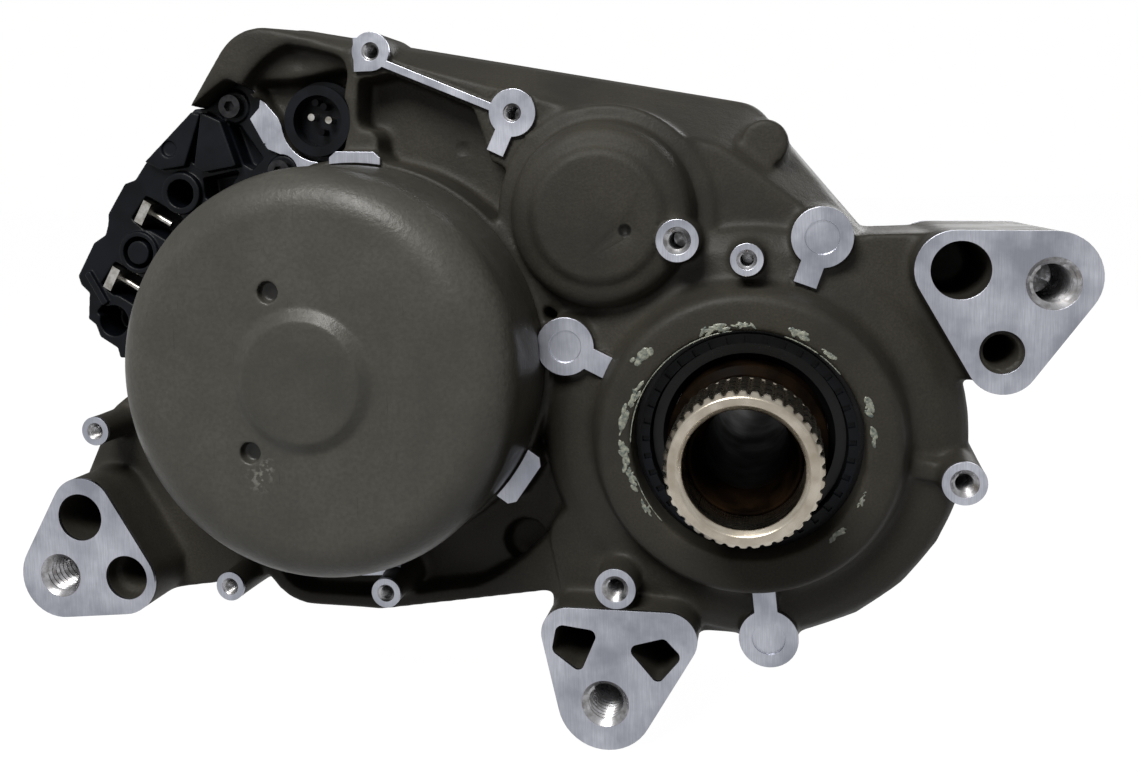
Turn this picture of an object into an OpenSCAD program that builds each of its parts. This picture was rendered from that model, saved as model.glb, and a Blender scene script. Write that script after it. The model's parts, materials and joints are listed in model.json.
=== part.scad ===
// Electric drive unit for a pedal-assist bicycle: crank axle along Y, front (chain) side toward -Y, millimetres.

/* [Crank axle] */
// Bore of the hollow pedal shaft
crank_bore_d = 16; // [14:0.5:17]
// Spline diameter over the tooth tips
spline_d = 27.6; // [27.2:0.2:28]
// Number of spline teeth
spline_teeth = 40; // [32:1:44]
// Front end of the output sleeve, ahead of the centre plane
sleeve_front = 54.5; // [53:0.5:56]
// Outside diameter of the shaft seal
seal_d = 43; // [42.4:0.2:44]

/* [Motor] */
// Outside diameter of the motor cap
cap_d = 78.4; // [78:0.2:79]
// Front face of the motor cap, ahead of the centre plane
cap_front = 53; // [52.5:0.5:55]
// Rounding of the front edge of the cap
cap_round = 8.5; // [6:0.5:9]
// Number of rotor magnets
magnet_count = 10; // [8:2:14]
// Turns block width on each side of a stator tooth
coil_width = 2.4; // [1.6:0.2:2.6]

/* [Gears and belt] */
// Face width of the output gear
gear_width = 12; // [8:1:13]
// Width of the toothed belt
belt_width = 9; // [7:0.5:9.5]

/* [Mounting lugs] */
// Front lug faces, ahead of the centre plane
lug_front = 35; // [34:0.5:36]
// Rear lug faces, behind the centre plane
lug_rear = 11; // [9:0.5:11.5]
// Tapping size of the lug threads
lug_thread_d = 6.8; // [6.6:0.1:7]
// Depth of the lug threads
lug_thread_depth = 20; // [14:1:21]

/* [Cover bosses] */
// Outside diameter of the larger screw bosses
boss_d = 8; // [7.6:0.2:8.4]
// Tapping size of the larger screw bosses
boss_thread_d = 3.3; // [3.2:0.1:3.5]
// Outside diameter of the small screw bosses
small_boss_d = 6.1; // [5.9:0.1:6.5]
// Tapping size of the small screw bosses
small_thread_d = 2.5; // [2.4:0.1:2.7]
// Diameter of the locating pads round the crank
pad_d = 11.4; // [10.8:0.2:12]

/* [Connectors] */
// Front of the battery connector, ahead of the centre plane
connector_front = 18; // [17.5:0.5:19]
// Outside diameter of the signal socket
socket_d = 14.6; // [14.2:0.2:14.8]

/* [Hidden] */
$fn = 64;
// Levels along the crank axle, counted from the centre plane
split = 12;
gasket_t = 0.5;
rear_face = 34;
rim_front = 24;
seat_front = 26;
ear_front = 26.6;
strip_front = 25;
flange_front = 19;
hood_floor = 20;
recess_floor = 15;
pad_front = 30;
boss_front = 35;
thin_front = 33;
drum_front = 36;
dome_front = 34.5;
lay_front = 31;
lay_rear = 33;
seal_front = 29.4;
connector_back = 5;
// Walls and clearances
wall = 3.5;
run_gap = 0.05;
part_gap = 0.3;
bearing_t = 7;
// Small step where the tapered front meets the straight wall
ledge = 0.2;
// Straight sides lie this much inside the line that touches two circles, so that they cross the circles cleanly
tuck = 0.004;
// Gear train
crank = [0, 0];
motor = [-79.5, 14];
gear_module = 1.2;
gear_teeth = 60;
pinion_teeth = 25;
mesh_angle = 123;
shaft_distance = gear_module*(gear_teeth + pinion_teeth)/2;
lay = [shaft_distance*cos(mesh_angle), shaft_distance*sin(mesh_angle)];
belt_pitch = 3;
small_pulley_teeth = 15;
big_pulley_teeth = 45;
belt_y = 19;
// Motor radii, from the cap inward
cap_r = cap_d/2;
skirt_r = cap_r + part_gap;
seat_r = cap_r + 1.4;
chamber_r = cap_r - 2.4;
cap_seal_r = cap_r - 1.25;
cap_seal_w = 0.9;
bolt_ring = chamber_r - 2.8;
yoke_r = chamber_r - 5.7;
stator_bore_r = chamber_r - 14.6;
rotor_r = stator_bore_r - 0.6;
rotor_core_r = rotor_r - 2;
coil_r = stator_bore_r + 2;
coil_depth = 6.2;
hub_r = 14.5;
bolt_angles = [30, 150, 270];
slot_count = 12;
// Crank radii, from the seal outward
shaft_r = 10.35;
seal_land_r = 15;
output_bearing_r = 21;
seal_r = seal_d/2;
crank_boss_r = seal_r + 5.7;
// Plan of the casting: circles as [x, z, radius]
outline = [[-99, 72.5, 11.5], [-133, 30, 9], [-92, -28.8, 12], [0, 0, 42], [-3.4, 57.2, 8]];
outline_front = [[-99, 71.5, 10.5], [-131, 29, 8], [-92, -28.3, 11.5], [0, 0, 41], [-8, 50, 6]];
lug_right = [[44.8, 16.5, 6.3], [53, 31, 8.2], [36.5, 32.5, 7]];
lug_bottom = [[-27.5, -51.9, 9.5], [-15, -38.5, 5.5], [-34.5, -38.5, 5.5]];
lug_left = [[-144.3, -31.9, 9], [-130, -32, 7.5], [-138.3, -17.5, 7]];
arm_right = [[20, 20, 8], [44, 17, 6], [50, 30, 7], [37, 32.5, 6.3], [22, 33, 5.5]];
arm_bottom = [[-28, -50, 6], [-14, -32, 5], [-34, -22, 6]];
arm_left = [[-110, 10, 10], [-134, -1, 5], [-141, -15, 5], [-144, -31, 8], [-130, -32, 7], [-105, -25, 10]];
// Places as [x, z]
lug_threads = [[53, 30], [-27.5, -52], [-144.3, -31.7]];
boss_places = [[-25.2, -28.8], [-12.6, 38.1], [38.7, -6.1]];
small_boss_place = [0.1, 34.5];
thin_places = [[-135.4, -0.8], [-106.5, -33], [-72.4, -32.7]];
pad_places = [[13.7, 38.2], [3.8, -39.1], [-35.1, 17.5]];
top_pad = [-74.5, 76];
mid_pad = [-45.7, 63];
cover_places = [[-102, 75], [-45, 66], [0, 57], [-135.5, 31], [-94.5, -33], [-52, -29.5], [33, 31], [-19, -43]];
outer_cover_places = [cover_places[6], cover_places[7]];
cover_boss_r = 6;
dowel_places = [[-113.5, 63], [-72, -33.5]];
spanner_places = [[-85.5, 30.4], [-90.4, 0.5]];
// Machined ears round the cap: angle, outer radius, half width
ears = [[88, cap_r + 3, 5.4], [-35, cap_r + 4.4, 5.9], [-86, cap_r + 6.3, 5]];
// Connectors
socket = [-88.5, 62.9];
socket_flange_r = 8.3;
socket_pin_places = [[-1.9, 0.9], [1.9, 0.2], [0.9, 3], [0.2, -2.2], [-0.9, 3.9]];
connector_screw_places = [[-107.8, 66.5], [-97.4, 52.7]];
screw_boss_r = 3.6;
blade_places = [[-130.1, 44.5], [-138.5, 30.2]];
blade_angle = 60;
blade_t = 2;
ring_boss = [-131.9, 35.8];
round_boss = [-120.7, 48.5];
keyed_hole = [-139.2, 20.7];

// Outward unit normal of the line that touches two circles of a counter-clockwise list
function touch(a, b) =
  let (v = [b[0] - a[0], b[1] - a[1]], far = norm(v), d = v/far, k = (a[2] - b[2])/far, q = sqrt(1 - k*k))
  [d[0]*k + d[1]*q, d[1]*k - d[0]*q];
function touch_points(c) = [for (i = [0:len(c) - 1])
  let (a = c[i], b = c[(i + 1)%len(c)], u = touch(a, b))
  each [[a[0] + (a[2] - tuck)*u[0], a[1] + (a[2] - tuck)*u[1]],
        [b[0] + (b[2] - tuck)*u[0], b[1] + (b[2] - tuck)*u[1]]]];
function inset(c, t) = [for (q = c) [q[0], q[1], q[2] - t]];
function polar(c, r, t) = [c[0] + r*cos(t), c[1] + r*sin(t)];

// Shape wrapped round a convex ring of circles
module wrap(c) {
  polygon(touch_points(c));
  for (q = c) translate([q[0], q[1]]) circle(r = q[2]);
}
module disc(p, r) translate([p[0], p[1]]) circle(r = r);
module bar2d(a, b, w) {
  v = b - a;
  translate(a) rotate(atan2(v[1], v[0])) translate([0, -w/2]) square([norm(v), w]);
}
// Flat shape in X and Z, standing from y0 to y1
module slab(y0, y1) translate([0, y1, 0]) rotate([90, 0, 0]) linear_extrude(y1 - y0) children();
module rod(p, r, y0, y1) translate([p[0], y1, p[1]]) rotate([90, 0, 0]) cylinder(r = r, h = y1 - y0);
module cone(p, r0, r1, y0, y1)
  translate([p[0], y1, p[1]]) rotate([90, 0, 0]) cylinder(r1 = r1, r2 = r0, h = y1 - y0);
module tube(p, r0, r1, y0, y1) slab(y0, y1) difference() { disc(p, r1); disc(p, r0); }
// Turned shape: points are [radius, y]
module turned(p, pts)
  translate([p[0], 0, p[1]]) rotate([90, 0, 0]) rotate_extrude() polygon([for (q = pts) [q[0], -q[1]]]);
module tapped(p, d, y0, depth, chamfer) {
  rod(p, d/2, y0, y0 + depth);
  cone(p, d/2 + chamfer + 0.1, d/2, y0 - 0.1, y0 + chamfer);
}
module hex_socket(p, r, y0, y1)
  translate([p[0], y1, p[1]]) rotate([90, 0, 0]) cylinder(r = r, h = y1 - y0, $fn = 6);

// Involute tooth wheel, first tooth centred on angle zero
function inv_point(rb, t) = [rb*(cos(t) + t*PI/180*sin(t)), rb*(sin(t) - t*PI/180*cos(t))];
function roll(rb, r) = sqrt(max(0, pow(r/rb, 2) - 1))*180/PI;
function flank_angle(rb, r) = let (p = inv_point(rb, roll(rb, r))) atan2(p[1], p[0]);
function tooth_points(z, m, backlash) =
  let (rp = m*z/2, rb = rp*cos(20), ra = rp + m*0.95, rf = rp - m*1.2, r0 = max(rb, rf + 0.05),
       half = 90/z - backlash/rp*180/PI/2 + flank_angle(rb, rp),
       steps = [0, 0.3, 0.6, 0.8, 1])
  [for (i = [0:z - 1]) let (mid = 360*i/z)
    each concat(
      [polar([0, 0], rf, mid - half + flank_angle(rb, r0) - 0.4)],
      [for (s = steps) let (r = r0 + (ra - r0)*s) polar([0, 0], r, mid - half + flank_angle(rb, r))],
      [for (k = [4:-1:0]) let (r = r0 + (ra - r0)*steps[k]) polar([0, 0], r, mid + half - flank_angle(rb, r))],
      [polar([0, 0], rf, mid + half - flank_angle(rb, r0) + 0.4)])];
// Ring of straight-sided teeth
function notch_points(z, r_root, r_tip, share) = [for (i = [0:z - 1]) let (t = 360*i/z, w = 360/z)
  each [polar([0, 0], r_root, t - w*share*0.65), polar([0, 0], r_tip, t - w*share*0.4),
        polar([0, 0], r_tip, t + w*share*0.4), polar([0, 0], r_root, t + w*share*0.65)]];

module outer_ring(p, r_in, r_out, y0, ball) {
  mid = (r_in + r_out)/2;
  difference() {
    tube(p, mid + ball*0.75, r_out, y0, y0 + bearing_t);
    translate([p[0], y0 + bearing_t/2, p[1]]) rotate([90, 0, 0]) rotate_extrude()
      translate([mid, 0]) circle(r = ball + 0.06);
  }
}
module inner_ring(p, r_in, r_out, y0, ball, count) {
  mid = (r_in + r_out)/2;
  tube(p, r_in, mid - ball*0.75, y0, y0 + bearing_t);
  for (i = [0:count - 1]) translate([p[0], y0 + bearing_t/2, p[1]]) rotate([0, 360*i/count, 0])
    translate([mid, 0, 0]) sphere(r = ball);
}

// Underside step between motor and bottom lug
module step2d(up) polygon([[-90, -42 + up], [-86, -41.5 + up], [-40, -34 + up], [-38, -70], [-90, -70]]);
module plan2d() {
  difference() { wrap(outline); step2d(0); }
  for (q = outer_cover_places) disc(q, cover_boss_r);
}
module hollow2d() difference() {
  wrap(inset(outline, wall));
  step2d(wall);
  for (q = cover_places) disc(q, 4.6);
  for (q = dowel_places) disc(q, 4.2);
}

// Plan of the battery connector, from its top screw round the left side to the cap
connector_plan = concat(
  [[-106.5, 71.9], [-114.5, 66.5], [-117.1, 66.4], [-129.2, 55.4], [-132.1, 51.6], [-134.7, 50.8], [-139.1, 44.3],
   [-139.3, 42.1], [-140.1, 39.7], [-143, 38], [-147.4, 30.7], [-146.8, 28.7], [-144.9, 26.9], [-145.5, 21.1],
   [-143.8, 19.8], [-142.9, 17.1], [-138.8, 14.6], [-138.3, 12.4]],
  [for (t = [182:-6:122]) polar(motor, cap_r + 5, t)],
  [[-100.5, 57.5], [-104, 63.9], [-101.8, 66.1], [-101.5, 67.8], [-103.2, 70.1]]);
module connector2d() {
  polygon(connector_plan);
  disc(connector_screw_places[1], screw_boss_r);
  bar2d([-104, 55.4], connector_screw_places[1], 2*screw_boss_r - 0.6);
}
// Machined flange between connector and socket recess
module flange2d() polygon([[-103, 70.2], [-100.8, 67.5], [-97.6, 63.8], [-96.8, 61.7], [-95.2, 58.8], [-91.7, 56.4],
  [-88.9, 54.1], [-89.7, 51.8], [-93.7, 51.5], [-99.8, 56.8], [-101.9, 59.8], [-104, 63.6]]);
module ear2d(angle, r, half) translate(motor) rotate(angle) polygon([
  [chamber_r, -half], [r - 1.2, -half], [r, 1.4 - half], [r, half - 1.4], [r - 1.2, half], [chamber_r, half]]);

module rough_body() {
  difference() {
    union() {
      slab(-4, split) wrap(outline);
      hull() {
        slab(-rim_front, 0.01 - rim_front) wrap(outline_front, $fn = 24);
        slab(-3.6, -3.59) wrap(inset(outline, ledge), $fn = 24);
      }
    }
    slab(-30, split + 1) step2d(0);
    // moat round the motor cap
    slab(-25, -18) difference() {
      intersection() {
        wrap(inset(outline_front, 3.2));
        disc(motor, cap_r + 13.8);
        translate([-150, -60]) square([125, 96]);
      }
      disc(motor, seat_r);
      disc(lay, 19);
      disc(crank, 40);
      step2d(3.2);
    }
    // plate pocket beside the dome
    slab(-25, -16) difference() {
      polygon([[-77.8, 70.4], [-78.2, 62.6], [-77.6, 61], [-75, 60.6], [-73.8, 58.7], [-74.3, 52], [-50, 30],
               [-40, 44], [-45, 51], [-50.5, 53.5], [-54, 64.3], [-71, 71.6]]);
      disc(motor, seat_r);
      disc(lay, 19);
    }
    // recess of the signal socket, its sloping roof under the hood
    slab(-25, -hood_floor) polygon([[-103.3, 70.2], [-97, 66], [-82, 66], [-80.2, 72], [-81.2, 75.2], [-87.4, 77],
                                    [-92.6, 78.2], [-95.3, 77.2], [-98.2, 75.4], [-101, 73]]);
    slab(-25, -recess_floor) polygon([[-102, 70.5], [-100.4, 71.3], [-94, 71.1], [-81, 73.4], [-81.5, 62.5],
                                      [-81, 55], [-88.9, 54.1], [-91.7, 56.4], [-95.2, 58.8], [-98.3, 64]]);
    slab(-25, -flange_front) flange2d();
  }
  slab(-flange_front, -10) flange2d();
}

// Crank drum with its raised boss, and the dome over the front layshaft bearing
module crank_drum() turned(crank, [
  [0, -10], [0, -drum_front], [crank_boss_r, -drum_front], [crank_boss_r + 1.2, 0.8 - drum_front],
  [crank_boss_r + 2.1, 4 - drum_front], [crank_boss_r + 3, -29.2], [crank_boss_r + 4.3, -28.4],
  [36, -27.6], [39.5, -25.6], [41.3, -21.5], [41.8, -10]]);
module lay_dome() {
  difference() {
    turned(lay, [
      [0, -10], [0, -dome_front], [11.6, -dome_front], [12.6, 0.5 - dome_front], [13.2, 1.3 - dome_front],
      [15, 1.6 - dome_front], [16.4, 2.4 - dome_front], [17.3, 3.9 - dome_front], [17.7, 5.9 - dome_front],
      [18.4, -25], [20, -22], [20, -10]]);
    rod([-22.4, 40.1], 1.2, -dome_front - 1, 0.7 - dome_front);
  }
  rod(lay, 21.5, -rim_front - 1.2, -14);
}
module arms_and_lugs() {
  slab(-26, lug_rear - 0.5) wrap(arm_right);
  slab(-26, lug_rear - 0.5) wrap(arm_bottom);
  slab(-22, lug_rear - 0.5) wrap(arm_left);
  slab(-lug_front, lug_rear) wrap(lug_right);
  slab(-lug_front, lug_rear) wrap(lug_bottom);
  slab(-lug_front, lug_rear) wrap(lug_left);
  for (q = outer_cover_places) rod(q, cover_boss_r, -8, split);
}
module bosses_and_pads() {
  for (q = boss_places) cone(q, boss_d/2, boss_d/2 + 0.8, -boss_front, -8);
  cone(small_boss_place, small_boss_d/2, small_boss_d/2 + 0.6, -boss_front, -20);
  for (q = thin_places) cone(q, small_boss_d/2, small_boss_d/2 + 0.6, -thin_front, -10);
  slab(-pad_front, -14) bar2d([28, -4.4], [38.7, -6.1], 4);
  // locating pads with a tail toward the crank
  for (q = pad_places) slab(-pad_front, -6) {
    disc(q, pad_d/2);
    bar2d(q, q*(1 - 9.4/norm(q)), 4.4);
  }
  // tapped pads and machined strip on the upper rim
  slab(-strip_front, -8) { disc(top_pad, 3.9); bar2d(top_pad - [0, 0.5], top_pad - [3.6, 0.5], 6.8); }
  slab(-strip_front, -14) { disc(mid_pad, 4.7); bar2d(mid_pad, mid_pad + [-3.7, -7.8], 3.6); }
  slab(-strip_front, -16) bar2d([-72, 73.6], [-47, 63], 1.5);
  rod([3, 56], 4.7, -20, -4);
}
// Cored holes that lighten the lugs
module cored_holes() {
  rod([37.5, 32.4], 5.2, -40, -8);
  rod([44.6, 17.8], 2.9, -40, -10);
  cone([44.6, 17.8], 3.9, 2.9, -lug_front - 0.1, 2 - lug_front);
  rod([-138.9, -18.9], 5, -40, -8);
  rod([-128.9, -31.5], 3.4, -40, -10);
  rod([-128.9, -31.5], 4.7, -40, 4 - lug_front);
  slab(-40, -8) wrap([[-36.2, -41.2, 1.6], [-32.8, -44.2, 1.2], [-30.6, -38.6, 1.4], [-35.6, -38.2, 1.6]]);
  slab(-40, -8) wrap([[-21, -41, 1.3], [-17.2, -45.6, 1.2], [-14.4, -41.8, 1.5], [-16.2, -39.6, 1.3]]);
}
module thread_holes() {
  for (q = lug_threads) {
    tapped(q, lug_thread_d, -lug_front, lug_thread_depth, 1.25);
    mirror([0, 1, 0]) tapped(q, lug_thread_d, -lug_rear, lug_thread_depth, 1.25);
  }
  for (q = boss_places) tapped(q, boss_thread_d, -boss_front, 12, 0.9);
  tapped(small_boss_place, small_thread_d, -boss_front, 10, 0.6);
  for (q = thin_places) tapped(q, small_thread_d, -thin_front, 10, 0.5);
  tapped(top_pad, 2.8, -strip_front, 9, 0.4);
  tapped(mid_pad, 2.8, -strip_front, 9, 0.4);
  for (q = cover_places) rod(q, 2, -2, split + 1);
  for (q = dowel_places) rod(q, 2, 4, split + 1);
}

module main_housing() color([0.33, 0.32, 0.3]) difference() {
  union() {
    rough_body();
    crank_drum();
    lay_dome();
    rod(motor, seat_r, -seat_front, -8);
    for (e = ears) slab(-ear_front, -14) difference() { ear2d(e[0], e[1], e[2]); disc(motor, skirt_r + 0.5); }
    arms_and_lugs();
    bosses_and_pads();
  }
  // room for the cap skirt, the locating pads stay whole
  difference() {
    rod(motor, skirt_r + 0.4, -60, -seat_front);
    for (q = pad_places) rod(q, pad_d/2, -61, -20);
  }
  // connector seat
  slab(-30, 0.5 - connector_back) connector2d();
  for (q = connector_screw_places) rod(q, 1.25, 0.4 - connector_back, 4);
  // motor chamber with end wall and bearing hub
  difference() { rod(motor, chamber_r, -30, 4); rod(motor, hub_r, 0, 5); }
  rod(motor, 11, -1, 8);
  rod(motor, 5, 7, split + 1);
  for (t = bolt_angles) rod(polar(motor, bolt_ring, t), 1.7, 3, split);
  // groove of the cap seal
  tube(motor, cap_seal_r - cap_seal_w/2 - 0.1, cap_seal_r + cap_seal_w/2 + 0.1, -seat_front - 1, 1 - seat_front);
  // gear chamber
  slab(-14, split + 1) wrap([[0, 0, 38.4], [lay[0], lay[1], 17.5]]);
  slab(9, split + 1) hollow2d();
  // electronics chamber and its way to the coils
  slab(-13, 9.5) polygon([[-93, 57.5], [-52, 57.5], [-52, 65.5], [-66, 69.5], [-80, 73], [-92, 74], [-93, 73]]);
  translate([-85, -7.5, motor[1] + chamber_r - 3.2]) cube([11, 8.5, 11.4]);
  // socket hole with room round its flange
  rod(socket, socket_flange_r + 0.2, -25, -recess_floor);
  rod(socket, socket_d/2 + 0.1, -recess_floor - 0.1, -9.5);
  // crank bore: seal seat, bearing seat, shoulder
  rod(crank, seal_r, -37, -25);
  rod(crank, output_bearing_r, -25.1, -18);
  rod(crank, 18.6, -18.1, -13);
  // layshaft bearing seat
  rod(lay, 11, -lay_front, bearing_t + 1 - lay_front);
  rod(lay, 13, bearing_t - lay_front, -13);
  thread_holes();
  cored_holes();
  // dimples of the locating pads, round pocket below the motor, ejector marks
  for (q = pad_places) rod(q, 3.2, -pad_front - 1, 0.5 - pad_front);
  rod([-46.5, -25.5], 4.6, -19, -14);
  rod([-91.8, 75.2], 2.1, -hood_floor - 1, 0.6 - hood_floor);
  rod([-58.5, 56.5], 1.5, -17, -15.7);
}

module rear_housing() color([0.33, 0.32, 0.3]) difference() {
  union() {
    difference() {
      slab(split + gasket_t, rear_face) plan2d();
      slab(split, rear_face - 4) hollow2d();
    }
    rod(lay, hub_r, 25.5, rear_face + 2);
    difference() { rod(crank, 22, 9.8, rear_face + 4); rod(crank, 19.02, 9, 21); }
    for (t = [20:60:320]) slab(rear_face - 2, rear_face + 1.5) bar2d(polar(crank, 21, t), polar(crank, 36, t), 2.4);
    cone(motor, 27, 24, rear_face - 1, rear_face + 2);
  }
  rod(lay, 11, 24, lay_rear);
  rod(crank, 14, 20, 40);
  rod(crank, 16, 26, 40);
  for (q = cover_places) rod(q, 2.2, 10, 40);
  for (q = dowel_places) rod(q, 2, 10, 20);
}

module housing_gasket() color([0.1, 0.1, 0.1]) slab(split, split + gasket_t) difference() {
  plan2d();
  hollow2d();
  for (q = cover_places) disc(q, 2.3);
  for (q = dowel_places) disc(q, 2.1);
}

module motor_cap() color([0.42, 0.41, 0.38]) difference() {
  union() {
    turned(motor, [
      [0, -seat_front], [0, -cap_front - 1.5], [11.2, -cap_front - 1.5], [13.6, -cap_front],
      [cap_r - cap_round, -cap_front], [cap_r - cap_round, cap_round - cap_front], [cap_r, cap_round - cap_front],
      [skirt_r, -33], [skirt_r, -seat_front]]);
    translate([motor[0], cap_round - cap_front, motor[1]]) rotate([90, 0, 0]) rotate_extrude()
      translate([cap_r - cap_round, 0]) circle(r = cap_round);
  }
  // hollow with bearing hub and bolt bosses
  slab(3 - cap_front, -25) difference() {
    disc(motor, chamber_r - 1);
    disc(motor, hub_r);
    for (t = bolt_angles) disc(polar(motor, bolt_ring, t), 2.9);
  }
  rod(motor, hub_r + 0.1, -42, -25);
  tube(motor, 20, chamber_r, -38, -25);
  rod(motor, 11, -49.4, -40);
  for (t = bolt_angles) rod(polar(motor, bolt_ring, t), 1.52, -46.5, -30);
  for (q = spanner_places) rod(q, 2, -60, 2 - cap_front);
  // scallop beside the nearest locating pad
  for (q = pad_places) rod(q, pad_d/2 + part_gap, -pad_front - part_gap, 1 - seat_front);
}

module cap_seal_ring() color([0.08, 0.08, 0.08]) translate([motor[0], 0.5 - seat_front, motor[1]]) rotate([90, 0, 0])
  rotate_extrude() translate([cap_seal_r, 0]) square([cap_seal_w, 0.9], center = true);

module cover_screws() color([0.55, 0.55, 0.56]) for (q = cover_places) difference() {
  union() { rod(q, 1.95, 0, rear_face); rod(q, 3.6, rear_face, rear_face + 3); }
  hex_socket(q, 1.8, rear_face + 1.4, rear_face + 4);
}

module dowel_pins() color([0.7, 0.7, 0.7]) for (q = dowel_places) rod(q, 1.98, 4.5, 19);

module motor_bolts() color([0.55, 0.55, 0.56]) for (t = bolt_angles) difference() {
  union() { rod(polar(motor, bolt_ring, t), 1.5, -46, 9); rod(polar(motor, bolt_ring, t), 2.7, 9, 11.6); }
  hex_socket(polar(motor, bolt_ring, t), 1.4, 10, 12);
}

module stator_core() color([0.45, 0.46, 0.48]) slab(-38, -8) difference() {
  union() {
    difference() { disc(motor, chamber_r - 0.03); disc(motor, yoke_r); }
    for (i = [0:slot_count - 1]) translate(motor) rotate(i*360/slot_count) {
      translate([stator_bore_r + 0.4, -3]) square([yoke_r - stator_bore_r + 0.6, 6]);
      translate([stator_bore_r - 0.2, -4.6]) square([1.9, 9.2]);
    }
  }
  disc(motor, stator_bore_r);
  for (t = bolt_angles) disc(polar(motor, bolt_ring, t), 1.7);
}

module stator_coils() color([0.72, 0.4, 0.16]) for (i = [0:slot_count - 1])
  translate([motor[0], 0, motor[1]]) rotate([0, -i*360/slot_count, 0]) difference() {
    translate([coil_r, -41.5, -3.1 - coil_width]) cube([coil_depth, 37, 6.2 + 2*coil_width]);
    translate([coil_r - 0.6, -38.1, -3.1]) cube([coil_depth + 1.8, 30.2, 6.2]);
  }

module phase_busbars() color([0.75, 0.45, 0.2]) for (x = [-3.5, 0, 3.5])
  translate([motor[0] + x - 1, -7.35, motor[1] + coil_r + coil_depth + 0.1]) cube([2, 0.9, 15.3]);

module controller_board() color([0.05, 0.3, 0.12]) slab(-9, -7.4)
  polygon([[-91.5, 58.5], [-54, 58.5], [-54, 64.5], [-66, 68.5], [-80, 71.5], [-91.5, 72]]);

module power_transistors() color([0.06, 0.06, 0.06]) for (x = [-78, -71, -64]) for (z = [61, 65.2])
  translate([x - 2.75, -11.3, z - 1.9]) cube([5.5, 2.3, 3.8]);

module capacitors() color([0.15, 0.15, 0.2]) for (q = [[-71, 63.2], [-61.5, 62.6]]) rod(q, 3.9, -7.4, 3);

module thermal_pad() color([0.6, 0.6, 0.62]) translate([-80.8, -13, 59]) cube([19.6, 1.7, 8]);

// One terminal slot, open toward the cap
module slot2d(q) translate(q) polygon([
  [-3.4, -1.2], [0.4, 3.6], [2.6, 2.4], [8.6, -1.1], [11.2, -6.6], [6.2, -7], [0.9, -3.9], [-0.6, -3.6]]);
module battery_connector() color([0.07, 0.075, 0.085]) difference() {
  union() {
    slab(-connector_front, -connector_back) connector2d();
    rod(round_boss, 4.5, -connector_front - 1.5, -8);
    rod(ring_boss, 4.6, -connector_front - 0.8, -8);
    // raised plate, centre fin and side ridge
    slab(-connector_front - 2, -8)
      polygon([[-114.9, 65.1], [-117, 65.6], [-128.4, 55.4], [-124.8, 53.6], [-119.1, 54.3]]);
    slab(-connector_front - 3, -8)
      polygon([[-114.2, 65.5], [-116.4, 54], [-114.1, 52.9], [-106.7, 54], [-109.8, 63.5]]);
    slab(-connector_front - 1, -8) bar2d([-140.5, 24.5], [-144.5, 31.5], 1.6);
    for (q = connector_screw_places) rod(q, screw_boss_r - 0.2, -connector_front - 0.6, -8);
  }
  rod(round_boss, 3, -25, -9);
  rod(keyed_hole, 3.4, -25, -10);
  slab(-25, -10) bar2d(keyed_hole, keyed_hole + [-3.2, 2.9], 2.6);
  rod([-122.6, 58], 1.7, -25, -connector_front - 1.2);
  difference() { rod(ring_boss, 3.5, -25, -12); rod(ring_boss, 2.6, -connector_front - 2.8, -11); }
  for (q = blade_places) slab(-25, -11) slot2d(q);
  // pocket between the fins, channel beside the screw, recess below
  slab(-25, -12) polygon([[-115, 63], [-118.4, 55], [-116.9, 54.6]]);
  slab(-25, -14) polygon([[-109.4, 62.9], [-106.9, 62.6], [-102, 55.6], [-104.5, 53.4], [-106.3, 54.4]]);
  slab(-25, -12) polygon([[-116, 51.6], [-107.4, 53.2], [-111, 47.6], [-115.6, 47.2]]);
  for (q = connector_screw_places) rod(q, 1.6, -25, 0);
}

module connector_gasket() color([0.05, 0.05, 0.05]) slab(-connector_back, 0.5 - connector_back) difference() {
  intersection() { connector2d(); wrap(inset(outline, 1)); }
  wrap([[-131, 29, 4], [-127, 26, 4], [-109, 56, 4], [-112, 58, 3]]);
  for (q = connector_screw_places) disc(q, 1.6);
}

module connector_screws() color([0.3, 0.3, 0.31]) for (q = connector_screw_places) difference() {
  union() { rod(q, 1.25, -connector_front - 0.6, 3); rod(q, 2.4, -connector_front - 2.6, -connector_front - 0.6); }
  hex_socket(q, 1.2, -connector_front - 3.2, -connector_front - 1.2);
}

module terminal_blades() color([0.8, 0.8, 0.82]) for (q = blade_places) slab(-connector_front - 1, -11)
  translate(q) rotate(blade_angle) square([5.2, blade_t], center = true);

// Pins lie across the slot, against the flat of each blade
module terminal_pins() color([0.8, 0.75, 0.6]) for (q = blade_places)
  translate([q[0], 2.5 - connector_front, q[1]]) rotate([0, 90 - blade_angle, 0])
    translate([blade_t/2 + 0.02, 0, 0]) rotate([0, 90, 0]) cylinder(r = 0.75, h = 4.6);

module socket_shell() color([0.06, 0.06, 0.065]) {
  tube(socket, 5.3, socket_d/2, -20, -10);
  tube(socket, 7, socket_flange_r, -recess_floor - 1.6, -recess_floor - 0.6);
}
module socket_insert() color([0.09, 0.09, 0.1]) difference() {
  rod(socket, 5.28, -16, -11);
  for (q = socket_pin_places) rod(socket + q, 0.75, -17, -10);
}
module socket_pins() color([0.85, 0.8, 0.65]) for (q = socket_pin_places) rod(socket + q, 0.74, -18.6, -9.02);
module socket_seal() color([0.45, 0.16, 0.1])
  tube(socket, socket_d/2 + 0.02, socket_flange_r, -recess_floor - 0.6, -recess_floor);

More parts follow.
